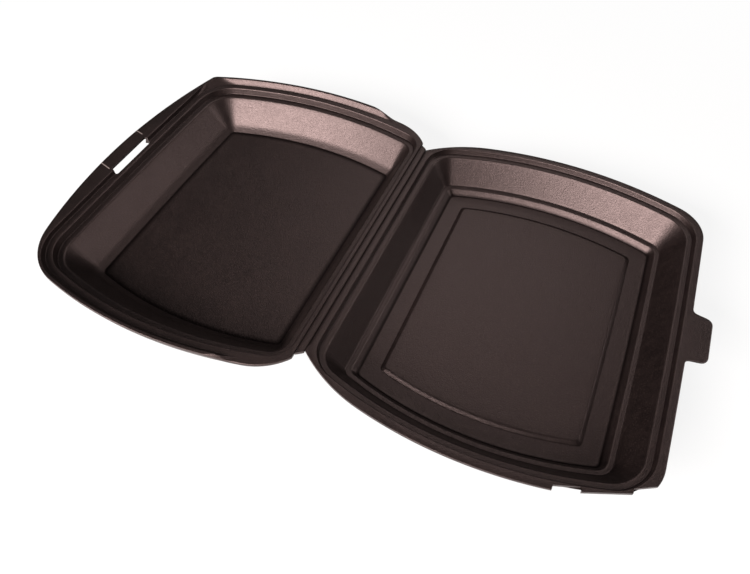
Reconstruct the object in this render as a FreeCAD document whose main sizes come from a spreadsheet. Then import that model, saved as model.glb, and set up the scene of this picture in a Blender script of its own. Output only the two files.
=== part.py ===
import FreeCAD, Part
import math
import os
import Sketcher

# Hinged food container pressed from one sheet of foam, lying fully open with both hollows up.
# Each half is drawn in its own frame: X runs from the middle of the hinge to that half's front
# edge, Y runs along the hinge and Z = 0 is the top face of the rim. The lid is then turned half
# round about Z, so the two halves lie back to back. All sizes are in millimetres.

sizes = {
    # sheet, hinge and corners
    "sheetThickness": 2.0,
    "wallSpread": 1.2,
    "creasePitch": 4.6,
    "creaseDepth": 0.3,
    "creaseHalfWidth": 0.45,
    "hingeGap": 0.2,
    "hingeLength": 196.0,
    "closingGap": 0.3,
    "backCorner": 25.0,
    "tightCorner": 3.5,
    "floorDepth": 26.0,
    # tray
    "trayReach": 198.4,
    "trayWidth": 240.6,
    "traySideBow": 255.0,
    "trayFrontBow": 4900.0,
    "trayBulge": 99.5,
    "trayCorner": 30.0,
    "lipCorner": 26.0,
    "lipHingeCorner": 100.0,
    "lipHingeTrim": 52.6,
    "lipWidth": 4.6,
    "trayRiserRun": 1.2,
    "trayRiserDrop": 3.5,
    "trayStepWidth": 3.5,
    "trayWallRun": 10.7,
    "ledgeHeight": 4.5,
    "ledgeWidth": 3.0,
    "lowerWallRun": 3.5,
    "borderWidth": 11.0,
    "panelRun": 1.3,
    "panelRise": 1.5,
    # lock tab and the cut lip at one front corner of the tray
    "tabLength": 11.6,
    "tabTipWidth": 31.0,
    "tabTaper": 1.7,
    "tabOffset": 4.0,
    "tabCorner": 4.5,
    "notchStart": 148.5,
    "notchEnd": 161.8,
    "notchStartDepth": 2.6,
    "notchEndDepth": 4.2,
    "cornerCutBack": 13.5,
    "cornerCutIn": 21.3,
    "cornerCutRise": 8.1,
    "lugStartTrim": 1.6,
    "lugEndTrim": 3.4,
    # lid
    "lidReach": 193.8,
    "lidWidth": 248.4,
    "lidSideBow": 284.0,
    "lidFrontBow": 3600.0,
    "lidBulge": 87.0,
    "lidCorner": 36.0,
    "plateHingeCorner": 40.0,
    "plateHingeTrim": 46.4,
    "skirtLean": 1.5,
    "skirtFront": 2.5,
    "skirtEdge": 2.2,
    "skirtRun": 2.6,
    "frontSkirtRun": 0.3,
    "lidFlatWidth": 4.4,
    "lidHingeMargin": 3.0,
    "lidRiserRun": 1.2,
    "lidRiserDrop": 4.8,
    "lidStepWidth": 4.1,
    "lidWallRun": 13.6,
    "lidFootRun": 4.4,
    "lidFootHeight": 3.6,
    "hingeWallTrim": 3.9,
    "hingeFootTrim": 5.0,
    "flangeLead": 9.0,
    "flangeBow": 355.0,
    "rightFlangeCorner": 4.0,
    "leftFlangeCorner": 44.0,
    "rightSkirtCorner": 20.0,
    "leftSkirtCorner": 38.0,
    "rightMouthCorner": 14.0,
    "flangeTuck": 0.7,
    "skirtEnd": 31.0,
    "skirtRamp": 17.0,
    "slotWidth": 4.6,
    "slotLength": 38.5,
    "slotOffset": 0.75,
    "slotCorner": 1.5,
}


class Size:
    # a number together with the sheet expression that gives it
    def __init__(self, value, text):
        self.value = value
        self.text = text

    def __add__(self, other):
        other = asSize(other)
        return Size(self.value + other.value, f"({self.text} + {other.text})")

    def __sub__(self, other):
        other = asSize(other)
        return Size(self.value - other.value, f"({self.text} - {other.text})")

    def __mul__(self, other):
        other = asSize(other)
        return Size(self.value * other.value, f"({self.text} * {other.text})")

    def __truediv__(self, other):
        other = asSize(other)
        return Size(self.value / other.value, f"({self.text} / {other.text})")

    def __neg__(self):
        return Size(-self.value, f"(-1 * {self.text})")

    def squareRoot(self):
        return Size(math.sqrt(self.value), f"sqrt({self.text})")

    def atLeast(self, other):
        other = asSize(other)
        return Size(max(self.value, other.value), f"max({self.text}; {other.text})")


def asSize(number):
    return number if isinstance(number, Size) else Size(float(number), str(number))


def size(alias):
    return Size(sizes[alias], "Sizes." + alias)


class Rim:
    # family of rounded outlines with bowed sides, each a given inset inside the widest one
    def __init__(self, half, reach, frontBow, corner):
        self.reach = reach
        self.halfWidth = size(half + "Width") / 2
        self.sideBow = size(half + "SideBow")
        self.bulge = size(half + "Bulge")
        self.frontBow = frontBow
        self.corner = corner

    def sideAt(self, along, inset):
        # distance of the bowed side from the centre line at a given distance from the hinge
        radius = self.sideBow - inset
        offset = along - self.bulge
        return (radius * radius - offset * offset).squareRoot() - self.sideBow + self.halfWidth

    def corners(self, inset):
        # radii at the hinge and at the front right and front left corners
        front = (self.corner - inset).atLeast(size("tightCorner"))
        back = (size("backCorner") - inset).atLeast(size("tightCorner"))
        return back, front, front


def makeSheet(doc):
    sheet = doc.addObject("Spreadsheet::Sheet", "Sizes")
    for row, (alias, value) in enumerate(sizes.items(), start=1):
        sheet.set(f"A{row}", alias)
        sheet.set(f"B{row}", str(value))
        sheet.setAlias(f"B{row}", alias)
    doc.recompute()


def makeBody(doc, label):
    body = doc.addObject("PartDesign::Body", label)
    body.Label = label
    return body


def makeSketch(body, name, role="XY_Plane", height=None):
    sketch = body.newObject("Sketcher::SketchObject", name)
    plane = [item for item in body.Origin.OriginFeatures if item.Role == role][0]
    sketch.AttachmentSupport = [(plane, "")]
    sketch.MapMode = "FlatFace"
    if height is not None:
        sketch.AttachmentOffset = FreeCAD.Placement(FreeCAD.Vector(0, 0, height.value), FreeCAD.Rotation())
        sketch.setExpression("AttachmentOffset.Base.z", height.text)
    return sketch


def bindSize(sketch, kind, places, amount):
    index = sketch.addConstraint(Sketcher.Constraint(kind, *places, amount.value))
    sketch.setExpression(f"Constraints[{index}]", amount.text)


def bindPlace(sketch, kind, place, amount):
    # distance of a point from the sketch's origin along one axis, kept positive
    if amount.value >= 0:
        bindSize(sketch, kind, (-1, 1, *place), amount)
    else:
        bindSize(sketch, kind, (*place, -1, 1), -amount)


def meet(centre, radius, otherCentre, otherRadius):
    # the crossing of two circles that lies furthest along X
    spanX = otherCentre[0] - centre[0]
    spanY = otherCentre[1] - centre[1]
    span = math.hypot(spanX, spanY)
    along = (radius**2 - otherRadius**2 + span**2) / (2 * span)
    across = math.sqrt(radius**2 - along**2)
    crossings = []
    for turned in (across, -across):
        crossings.append((centre[0] + (along * spanX + turned * spanY) / span,
                          centre[1] + (along * spanY - turned * spanX) / span))
    return max(crossings)


def addArc(sketch, centre, radius, start, end):
    # arc from one point to another, counterclockwise
    turns = [math.atan2(y - centre[1], x - centre[0]) for x, y in (start, end)]
    if turns[1] < turns[0]:
        turns[1] = turns[1] + 2 * math.pi
    circle = Part.Circle(FreeCAD.Vector(*centre, 0), FreeCAD.Vector(0, 0, 1), radius)
    sketch.addGeometry(Part.ArcOfCircle(circle, *turns))


def pointOn(centre, radius, towards):
    # the point of a circle straight beyond another point, as seen from its centre
    away = math.hypot(towards[0] - centre[0], towards[1] - centre[1])
    return tuple(centre[axis] + (towards[axis] - centre[axis]) * radius / away for axis in (0, 1))


def drawOutline(sketch, rim, inset, hingeAt, corners, hingeWidth=None):
    # the arcs beside the hinge run into its line, or cut it off at a given width
    hingeCorner, rightCorner, leftCorner = corners
    sideRadius = rim.sideBow - inset
    sideOffset = rim.sideBow - rim.halfWidth
    frontRadius = rim.frontBow - inset
    frontOffset = rim.frontBow - rim.reach
    # arc centres worked out from the sizes, so that the sketch starts solved
    rightSide = (rim.bulge.value, sideOffset.value)
    leftSide = (rim.bulge.value, -sideOffset.value)
    front = (-frontOffset.value, 0)
    fromSide = sideRadius.value - hingeCorner.value
    if hingeWidth is None:
        hingeX = hingeAt.value + hingeCorner.value
        hingeY = math.sqrt(fromSide**2 - (hingeX - rim.bulge.value) ** 2) - sideOffset.value
        hingeEnd = hingeY
    else:
        hingeEnd = hingeWidth.value / 2
        hingeX, hingeY = meet(leftSide, fromSide, (hingeAt.value, hingeEnd), hingeCorner.value)
    rightHinge = (hingeX, -hingeY)
    leftHinge = (hingeX, hingeY)
    fronts = []
    for side, radius in ((rightSide, rightCorner.value), (leftSide, leftCorner.value)):
        fronts.append(meet(side, sideRadius.value - radius, front, frontRadius.value - radius))
    rightFront, leftFront = fronts
    rightStart = (hingeAt.value, -hingeEnd)
    rightBack = pointOn(rightSide, sideRadius.value, rightHinge)
    rightEnd = pointOn(rightSide, sideRadius.value, rightFront)
    frontRight = pointOn(front, frontRadius.value, rightFront)
    frontLeft = pointOn(front, frontRadius.value, leftFront)
    leftEnd = pointOn(leftSide, sideRadius.value, leftFront)
    leftBack = pointOn(leftSide, sideRadius.value, leftHinge)
    leftStart = (hingeAt.value, hingeEnd)

    sketch.addGeometry(Part.LineSegment(FreeCAD.Vector(*leftStart, 0), FreeCAD.Vector(*rightStart, 0)))
    addArc(sketch, rightHinge, hingeCorner.value, rightStart, rightBack)
    addArc(sketch, rightSide, sideRadius.value, rightBack, rightEnd)
    addArc(sketch, rightFront, rightCorner.value, rightEnd, frontRight)
    addArc(sketch, front, frontRadius.value, frontRight, frontLeft)
    addArc(sketch, leftFront, leftCorner.value, frontLeft, leftEnd)
    addArc(sketch, leftSide, sideRadius.value, leftEnd, leftBack)
    addArc(sketch, leftHinge, hingeCorner.value, leftBack, leftStart)

    for edge in range(8):
        atHinge = edge in (0, 7) and hingeWidth is not None
        kind = "Coincident" if atHinge else "Tangent"
        sketch.addConstraint(Sketcher.Constraint(kind, edge, 2, (edge + 1) % 8, 1))
    sketch.addConstraint(Sketcher.Constraint("Vertical", 0))
    bindPlace(sketch, "DistanceX", (0, 1), hingeAt)
    if hingeWidth is not None:
        bindPlace(sketch, "DistanceY", (0, 1), hingeWidth / 2)
        bindPlace(sketch, "DistanceY", (0, 2), -(hingeWidth / 2))
    for side, offset in ((2, sideOffset), (6, -sideOffset)):
        bindSize(sketch, "Radius", (side,), sideRadius)
        bindPlace(sketch, "DistanceX", (side, 3), rim.bulge)
        bindPlace(sketch, "DistanceY", (side, 3), offset)
    bindSize(sketch, "Radius", (4,), frontRadius)
    bindPlace(sketch, "DistanceX", (4, 3), -frontOffset)
    sketch.addConstraint(Sketcher.Constraint("PointOnObject", 4, 3, -1))
    for corner, radius in ((1, hingeCorner), (3, rightCorner), (5, leftCorner), (7, hingeCorner)):
        bindSize(sketch, "Radius", (corner,), radius)


def formOutline(body, name, rim, inset, height, hingeAt):
    # outline of a pressed step: round at the rim, tight at the foot of the walls
    sketch = makeSketch(body, name, height=height)
    drawOutline(sketch, rim, inset, hingeAt, rim.corners(inset))
    return sketch


def drawPolygon(sketch, points):
    count = len(points)
    places = [FreeCAD.Vector(x.value, y.value, 0) for x, y in points]
    for index in range(count):
        sketch.addGeometry(Part.LineSegment(places[index], places[(index + 1) % count]))
    for index, (x, y) in enumerate(points):
        sketch.addConstraint(Sketcher.Constraint("Coincident", index, 2, (index + 1) % count, 1))
        bindPlace(sketch, "DistanceX", (index, 1), x)
        bindPlace(sketch, "DistanceY", (index, 1), y)


def pad(body, name, sketch, length):
    feature = body.newObject("PartDesign::Pad", name)
    feature.Profile = sketch
    feature.setExpression("Length", length.text)
    return feature


def padAlong(body, name, sketch, length):
    # the profile grows evenly to both sides of its plane
    feature = pad(body, name, sketch, length)
    feature.SideType = "Symmetric"
    return feature


def cutThrough(body, name, sketch):
    # the profile cuts everything on both sides of its plane
    feature = body.newObject("PartDesign::Pocket", name)
    feature.Profile = sketch
    feature.Type = "ThroughAll"
    feature.SideType = "Symmetric"
    return feature


def cutDown(body, name, sketch, depth):
    feature = body.newObject("PartDesign::Pocket", name)
    feature.Profile = sketch
    feature.setExpression("Length", depth.text)
    return feature


def loft(body, name, lower, upper, removes=False):
    kind = "SubtractiveLoft" if removes else "AdditiveLoft"
    feature = body.newObject("PartDesign::" + kind, name)
    feature.Profile = lower
    feature.Sections = [upper]
    feature.Ruled = True
    return feature


def roundEdges(body, name, edges, radius):
    base = body.Tip
    feature = body.newObject("PartDesign::Fillet", name)
    feature.Base = (base, edges)
    feature.setExpression("Radius", radius.text)
    return feature


def uprightEdges(body, points):
    # names of the upright edges nearest to the given points of the plan
    shape = body.Tip.Shape
    names = []
    for x, y in points:
        best = None
        for index, edge in enumerate(shape.Edges, start=1):
            ends = [vertex.Point for vertex in edge.Vertexes]
            if len(ends) < 2 or math.hypot(ends[0].x - ends[1].x, ends[0].y - ends[1].y) > 1e-6:
                continue
            away = math.hypot(ends[0].x - x.value, ends[0].y - y.value)
            if best is None or away < best[0]:
                best = (away, f"Edge{index}")
        names.append(best[1])
    return names


def cutCrease(body, hingeAt):
    # slope on the top edge of the hinge line, one flank of the pressed crease
    sketch = makeSketch(body, body.Label + "CreaseFlank", "XZ_Plane")
    outside = hingeAt - 1
    top = hingeAt + size("creaseHalfWidth") - size("hingeGap") / 2
    drawPolygon(sketch, [(outside, -size("creaseDepth")), (hingeAt, -size("creaseDepth")), (top, asSize(0.0)),
                         (top, asSize(1.0)), (outside, asSize(1.0))])
    cutThrough(body, body.Label + "Crease", sketch)


def slopeBetween(body, name, rim, low, high, removes=False):
    # solid or hollow between two outlines, each given as its inset, height and hinge line
    outlines = [formOutline(body, name + end, rim, *ring) for end, ring in (("Low", low), ("High", high))]
    return loft(body, name, *outlines, removes=removes)


def underside(ring):
    # the outline on the sheet's lower face that belongs to one on its upper face
    inset, height, hingeAt = ring
    spread = size("wallSpread")
    return inset - spread, height - size("sheetThickness"), hingeAt - spread


def pressWalls(body, rim, walls):
    # the outsides of the walls come first, then every hollow, so that the sheet stays whole
    for name, low, high in walls:
        slopeBetween(body, name + "Outside", rim, underside(low), underside(high))
    for name, low, high in walls:
        slopeBetween(body, name + "Hollow", rim, low, high, removes=True)


def buildTray(doc):
    body = makeBody(doc, "tray")
    thickness = size("sheetThickness")
    hingeLine = size("creasePitch") / 2
    rim = Rim("tray", size("trayReach"), size("trayFrontBow"), size("trayCorner"))
    plate = makeSketch(body, "lipOutline", height=-thickness)
    plateEdge = hingeLine + size("hingeGap") / 2
    plateCorners = (size("lipHingeCorner"), size("lipCorner"), size("lipCorner"))
    drawOutline(plate, rim, asSize(0.0), plateEdge, plateCorners,
                size("trayWidth") - size("lipHingeTrim"))
    pad(body, "lip", plate, thickness)

    tabSketch = makeSketch(body, "tabOutline", height=-thickness)
    tip = size("trayReach") + size("tabLength")
    root = size("trayReach") - size("lipWidth") / 2
    tipHalf = size("tabTipWidth") / 2
    rootHalf = tipHalf + size("tabTaper")
    centre = size("tabOffset")
    tabPoints = [(root, centre - rootHalf), (tip, centre - tipHalf),
                 (tip, centre + tipHalf), (root, centre + rootHalf)]
    drawPolygon(tabSketch, tabPoints)
    pad(body, "tab", tabSketch, thickness)
    doc.recompute()
    lipEdge = size("trayReach")
    corners = [tabPoints[1], tabPoints[2], (lipEdge, centre - rootHalf), (lipEdge, centre + rootHalf)]
    roundEdges(body, "tabCorners", uprightEdges(body, corners), size("tabCorner"))

    riserTop = size("lipWidth")
    riserFoot = riserTop + size("trayRiserRun")
    wallTop = riserFoot + size("trayStepWidth")
    wallFoot = wallTop + size("trayWallRun")
    lowerTop = wallFoot + size("ledgeWidth")
    lowerFoot = lowerTop + size("lowerWallRun")
    rimLevel = asSize(0.0)
    stepLevel = -size("trayRiserDrop")
    ledgeLevel = size("ledgeHeight") - size("floorDepth")
    floorLevel = -size("floorDepth")

    def ring(inset, height):
        return inset, height, inset + hingeLine

    pressWalls(body, rim, [
        ("trayRiser", ring(riserFoot, stepLevel), ring(riserTop, rimLevel)),
        ("trayWall", ring(wallFoot, ledgeLevel), ring(wallTop, stepLevel)),
        ("trayLowerWall", ring(lowerFoot, floorLevel), ring(lowerTop, ledgeLevel)),
    ])

    panelFoot = lowerFoot + size("borderWidth")
    panelTop = panelFoot + size("panelRun")
    panelLevel = floorLevel + size("panelRise")
    slopeBetween(body, "panel", rim, ring(panelFoot, floorLevel), ring(panelTop, panelLevel))
    recessFoot = ring(panelFoot + size("wallSpread"), floorLevel - thickness)
    recessTop = ring(panelTop + size("wallSpread"), panelLevel - thickness)
    slopeBetween(body, "panelRecess", rim, recessFoot, recessTop, removes=True)

    cutLip(body, rim)
    cutCrease(body, plateEdge)
    return body


def cutLip(body, rim):
    # a gap in the lip of one long side, a shorter lug beyond it and a corner cut back
    outside = -rim.halfWidth
    sketch = makeSketch(body, "lipNotch")
    start = size("notchStart")
    end = size("notchEnd")
    startIn = -rim.sideAt(start, size("notchStartDepth"))
    endIn = -rim.sideAt(end, size("notchEndDepth"))
    back = rim.reach - size("cornerCutBack")
    lugStart = -rim.sideAt(end, size("lugStartTrim"))
    lugEnd = -rim.sideAt(back, size("lugEndTrim"))
    drawPolygon(sketch, [(start, outside), (back, outside), (back, lugEnd), (end, lugStart), (end, endIn),
                         (start, startIn)])
    cutDown(body, "lipNotchCut", sketch, size("sheetThickness"))
    sketch = makeSketch(body, "lipCorner")
    inner = outside + size("cornerCutIn")
    front = rim.reach + 1
    innerFront = inner + size("cornerCutRise")
    drawPolygon(sketch, [(back, outside), (front, outside), (front, innerFront), (back, inner)])
    cutDown(body, "lipCornerCut", sketch, size("sheetThickness"))


def buildLid(doc):
    body = makeBody(doc, "lid")
    thickness = size("sheetThickness")
    hingeLine = size("creasePitch") / 2
    plateEdge = hingeLine + size("hingeGap") / 2
    closedGap = size("creasePitch") - size("creaseDepth") * 2
    skirtTop = closedGap - size("closingGap")
    rim = Rim("lid", size("lidReach"), size("lidFrontBow"), size("lidCorner"))
    lean = size("skirtLean")
    corner = size("lidCorner")
    hingeCorner = size("plateHingeCorner")
    hingeWidth = size("lidWidth") - size("plateHingeTrim")

    plate = makeSketch(body, "plateOutline", height=-thickness)
    lowCorners = (hingeCorner, corner - lean, corner - lean)
    drawOutline(plate, rim, lean, plateEdge, lowCorners, hingeWidth)
    skirtRim = makeSketch(body, "skirtRim", height=skirtTop)
    shortRim = Rim("lid", size("lidReach") - size("skirtFront"), size("lidFrontBow"), corner)
    highCorners = (hingeCorner, size("rightSkirtCorner"), size("leftSkirtCorner"))
    drawOutline(skirtRim, shortRim, asSize(0.0), plateEdge, highCorners, hingeWidth + lean * 2)
    loft(body, "skirt", plate, skirtRim)

    tuck = size("flangeTuck")
    middle = size("lidReach") / 2
    crescent = Rim("lid", size("lidReach") + size("flangeLead") + tuck, size("flangeBow"), corner)
    flange = makeSketch(body, "flangeOutline", height=skirtTop - thickness)
    flangeCorners = (size("tightCorner"), size("rightFlangeCorner"), size("leftFlangeCorner"))
    drawOutline(flange, crescent, tuck, middle, flangeCorners)
    pad(body, "flange", flange, thickness)

    # the skirt's inside leans out along the sides and stands nearly upright along the front
    flatOutside = size("skirtEdge") + size("skirtRun")
    openHinge = -size("backCorner")
    steepReach = size("lidReach") - size("skirtRun") + size("frontSkirtRun")
    steep = Rim("lid", steepReach, size("lidFrontBow"), corner)
    mouthFoot = formOutline(body, "mouthFoot", rim, flatOutside, asSize(0.0), openHinge)
    mouthTop = makeSketch(body, "mouthTop", height=skirtTop)
    back, right, left = steep.corners(size("skirtEdge"))
    drawOutline(mouthTop, steep, size("skirtEdge"), openHinge, (back, size("rightMouthCorner"), left))
    loft(body, "mouth", mouthFoot, mouthTop, removes=True)

    ramp = makeSketch(body, "rampOutline", "XZ_Plane")
    start = size("skirtEnd")
    finish = start + size("skirtRamp")
    above = skirtTop + 1
    drawPolygon(ramp, [(asSize(-1.0), asSize(0.0)), (start, asSize(0.0)), (finish, skirtTop), (finish, above),
                       (asSize(-1.0), above)])
    cutThrough(body, "skirtRampCut", ramp)

    riserTop = flatOutside + size("lidFlatWidth")
    riserFoot = riserTop + size("lidRiserRun")
    wallTop = riserFoot + size("lidStepWidth")
    footTop = wallTop + size("lidWallRun")
    footEnd = footTop + size("lidFootRun")
    hingeShift = hingeLine + size("lidHingeMargin") - riserTop
    rimLevel = asSize(0.0)
    stepLevel = -size("lidRiserDrop")
    floorLevel = -size("floorDepth")
    bendLevel = floorLevel + size("lidFootHeight")

    def ring(inset, height, trim=0.0):
        # the wall beside the hinge is steeper by the trim
        return inset, height, inset + hingeShift - trim

    bend = ring(footTop, bendLevel, size("hingeWallTrim"))
    pressWalls(body, rim, [
        ("lidRiser", ring(riserFoot, stepLevel), ring(riserTop, rimLevel)),
        ("lidWall", bend, ring(wallTop, stepLevel)),
        ("lidFoot", ring(footEnd, floorLevel, size("hingeFootTrim")), bend),
    ])

    cutSlot(doc, body, rim.reach - flatOutside)
    cutCrease(body, plateEdge)
    return body


def cutSlot(doc, body, middle):
    # slot for the lock tab, punched through the foot of the front skirt
    sketch = makeSketch(body, "slotOutline")
    halfWidth = size("slotWidth") / 2
    rightEnd = -size("slotLength") / 2 - size("slotOffset")
    leftEnd = size("slotLength") / 2 - size("slotOffset")
    corners = [(middle - halfWidth, rightEnd), (middle + halfWidth, rightEnd),
               (middle + halfWidth, leftEnd), (middle - halfWidth, leftEnd)]
    drawPolygon(sketch, corners)
    cutThrough(body, "slot", sketch)
    doc.recompute()
    roundEdges(body, "slotCorners", uprightEdges(body, corners), size("slotCorner"))


def buildHinge(doc):
    # strip between the two creases, cut along each one to a web that folds
    body = makeBody(doc, "hinge_strip")
    half = size("creasePitch") / 2 - size("hingeGap") / 2
    topHalf = half - size("creaseHalfWidth") + size("hingeGap") / 2
    deep = -size("sheetThickness")
    crease = -size("creaseDepth")
    sketch = makeSketch(body, "stripSection", "XZ_Plane")
    drawPolygon(sketch, [(-half, deep), (half, deep), (half, crease), (topHalf, asSize(0.0)),
                         (-topHalf, asSize(0.0)), (-half, crease)])
    padAlong(body, "strip", sketch, size("hingeLength"))
    return body


def placeBody(body, turned):
    # the origin is under the middle of the open container, on the table
    sideways = (size("lidReach") + size("flangeLead") - size("trayReach") - size("tabLength")) / 2
    height = size("floorDepth") + size("sheetThickness")
    angle = 180 if turned else 0
    turn = FreeCAD.Rotation(FreeCAD.Vector(0, 0, 1), angle)
    body.Placement = FreeCAD.Placement(FreeCAD.Vector(sideways.value, 0, height.value), turn)
    body.setExpression("Placement.Base.x", sideways.text)
    body.setExpression("Placement.Base.z", height.text)


def main():
    doc = FreeCAD.newDocument("FoamContainer")
    makeSheet(doc)
    bodies = [buildTray(doc), buildHinge(doc), buildLid(doc)]
    for body in bodies:
        placeBody(body, body.Label == "lid")
    doc.recompute()
    for item in doc.Objects:
        if "Invalid" in item.State or "Error" in item.State:
            raise RuntimeError(f"{item.Name} failed: {item.State}")
    os.makedirs("parts", exist_ok=True)
    for body in bodies:
        shape = body.Shape
        if shape.isNull() or not shape.isValid() or len(shape.Solids) != 1:
            raise RuntimeError(f"{body.Label} has no sound shape")
        shape.exportStep(f"parts/{body.Label}.step")
        box = shape.BoundBox
        print(body.Label, "volume", round(shape.Volume, 1), "box", [round(v, 2) for v in (
            box.XMin, box.YMin, box.ZMin, box.XMax, box.YMax, box.ZMax)])


main()
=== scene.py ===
import math
import bpy
import numpy as np
from mathutils import Matrix, Vector


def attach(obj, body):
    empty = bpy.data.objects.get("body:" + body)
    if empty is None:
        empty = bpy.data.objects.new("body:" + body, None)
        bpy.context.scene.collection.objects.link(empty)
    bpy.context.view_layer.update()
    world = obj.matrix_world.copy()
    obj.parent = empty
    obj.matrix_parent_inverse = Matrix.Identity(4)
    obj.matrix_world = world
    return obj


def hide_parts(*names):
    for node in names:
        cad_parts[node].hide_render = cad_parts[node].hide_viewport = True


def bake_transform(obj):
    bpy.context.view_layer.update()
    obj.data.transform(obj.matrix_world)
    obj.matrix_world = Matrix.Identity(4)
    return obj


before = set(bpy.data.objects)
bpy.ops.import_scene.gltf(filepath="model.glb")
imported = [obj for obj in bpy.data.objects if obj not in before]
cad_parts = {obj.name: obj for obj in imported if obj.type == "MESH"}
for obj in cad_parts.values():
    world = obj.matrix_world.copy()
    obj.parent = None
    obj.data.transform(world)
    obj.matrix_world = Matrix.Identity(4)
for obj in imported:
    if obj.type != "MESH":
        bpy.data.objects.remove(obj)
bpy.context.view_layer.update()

mm = 0.001
rimHeight = 28.0  # top face of the rim above the table, mm
hingeShift = -3.6  # middle of the hinge in the frame, mm


class Wire:
    # a socket that adds a Math node for each operator
    def __init__(self, tree, socket):
        self.tree = tree
        self.socket = socket

    def math(self, operation, *others):
        node = self.tree.node("ShaderNodeMath", {"operation": operation}, dict(enumerate([self, *others])))
        return Wire(self.tree, node.outputs[0])

    def __add__(self, other):
        return self.math("ADD", other)

    __radd__ = __add__

    def __sub__(self, other):
        return self.math("SUBTRACT", other)

    def __rsub__(self, other):
        return (self * -1.0) + other

    def __mul__(self, other):
        return self.math("MULTIPLY", other)

    __rmul__ = __mul__

    def ramp(self, low, high):
        # 0 below low, 1 above high, eased between them
        node = self.tree.node("ShaderNodeMapRange", {"interpolation_type": "SMOOTHSTEP"},
                              {"Value": self, "From Min": low, "From Max": high})
        return Wire(self.tree, node.outputs[0])


class Tree:
    # builds a shader or geometry tree: node type, settings, then socket values or links
    def __init__(self, nodeTree):
        self.nodes = nodeTree.nodes
        self.links = nodeTree.links

    def node(self, kind, settings=None, sockets=None):
        made = self.nodes.new(kind)
        for name, value in (settings or {}).items():
            setattr(made, name, value)
        for name, value in (sockets or {}).items():
            socket = made.inputs[name]
            if isinstance(value, Wire):
                self.links.new(value.socket, socket)
            elif isinstance(value, bpy.types.NodeSocket):
                self.links.new(value, socket)
            else:
                socket.default_value = value
        return made

    def wire(self, kind, settings=None, sockets=None, output=0):
        return Wire(self, self.node(kind, settings, sockets).outputs[output])


def clearedTree(owner):
    # the empty shader tree of a new material or world
    owner.use_nodes = True
    owner.node_tree.nodes.clear()
    return Tree(owner.node_tree)


def linear(red, green, blue):
    # display colour, 0 to 255, as the scene's own linear colour
    return tuple(((c / 255 + 0.055) / 1.055) ** 2.4 if c > 10 else c / 255 / 12.92 for c in (red, green, blue))


def mixColour(tree, share, first, second):
    # from the first colour to the second; each is a wire or three display values
    sockets = {"Factor": share}
    for place, colour in ((6, first), (7, second)):
        sockets[place] = colour if isinstance(colour, Wire) else (*linear(*colour), 1)
    return tree.wire("ShaderNodeMix", {"data_type": "RGBA"}, sockets, output=2)


def noise(tree, place, scale, detail, roughness=0.5):
    return tree.wire("ShaderNodeTexNoise", None, {"Vector": place, "Scale": scale, "Detail": detail,
                                                  "Roughness": roughness})


cameraLook = {
    "lens": 29.76,
    "sensor": 36,
    "nearest": 0.01,
    "place": (0.11123, -0.24732, 0.32444),
    "down": 52.115,
    "turn": 24.238,
    "tilt": -0.289,
}


def placeCamera():
    camera = bpy.data.objects.new("camera", bpy.data.cameras.new("camera"))
    bpy.context.scene.collection.objects.link(camera)
    camera.data.lens = cameraLook["lens"]
    camera.data.sensor_width = cameraLook["sensor"]
    camera.data.clip_start = cameraLook["nearest"]
    turns = (("Z", cameraLook["turn"]), ("X", 90 - cameraLook["down"]), ("Z", cameraLook["tilt"]))
    pose = Matrix.Translation(cameraLook["place"])
    for axis, angle in turns:
        pose = pose @ Matrix.Rotation(math.radians(angle), 4, axis)
    camera.matrix_world = pose
    bpy.context.scene.camera = camera


lightLook = {
    "world": 0.055,
    "sheenShare": 0.01,
    "soft": {"from": (-0.33, -0.80, 0.50), "away": 1.3, "wide": 0.9, "high": 0.42, "power": 46,
             "tint": (1.0, 0.95, 0.93)},
    "back": {"from": (-0.08, 0.60, 0.79), "away": 1.4, "wide": 0.8, "high": 0.6, "power": 3.4,
             "tint": (1.0, 0.94, 0.92)},
    "side": {"from": (0.78, 0.46, 0.42), "away": 1.4, "wide": 0.5, "high": 0.4, "power": 4.5,
             "tint": (1.0, 0.94, 0.92)},
}


def placeLights():
    for name in ("soft", "back", "side"):
        look = lightLook[name]
        lamp = bpy.data.lights.new(name + "Light", "AREA")
        lamp.shape = "RECTANGLE"
        lamp.size = look["wide"]
        lamp.size_y = look["high"]
        lamp.energy = look["power"]
        lamp.color = look["tint"]
        holder = bpy.data.objects.new(name + "Light", lamp)
        bpy.context.scene.collection.objects.link(holder)
        direction = Vector(look["from"]).normalized()
        holder.location = direction * look["away"]
        holder.rotation_euler = direction.to_track_quat("Z", "Y").to_euler()
    world = bpy.data.worlds.new("studio")
    bpy.context.scene.world = world
    tree = clearedTree(world)
    strength = seenStraight(tree) * (1 - lightLook["world"]) + lightLook["world"]
    sky = tree.node("ShaderNodeBackground", None, {"Color": (1, 1, 1, 1), "Strength": strength})
    tree.node("ShaderNodeOutputWorld", None, {"Surface": sky.outputs[0]})


def seenStraight(tree):
    # 1 where the camera sees the white surroundings itself, and a small share where the foam reflects them
    path = tree.node("ShaderNodeLightPath")
    seen = Wire(tree, path.outputs["Is Camera Ray"]).math("MAXIMUM", path.outputs["Is Transmission Ray"])
    return Wire(tree, path.outputs["Is Glossy Ray"]) * lightLook["sheenShare"] + seen


floorLook = {"half": 3.0, "paper": (0.9, 0.9, 0.9, 1), "glow": 0.86, "fadeFrom": 0.25, "fadeTo": 0.75}


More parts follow.
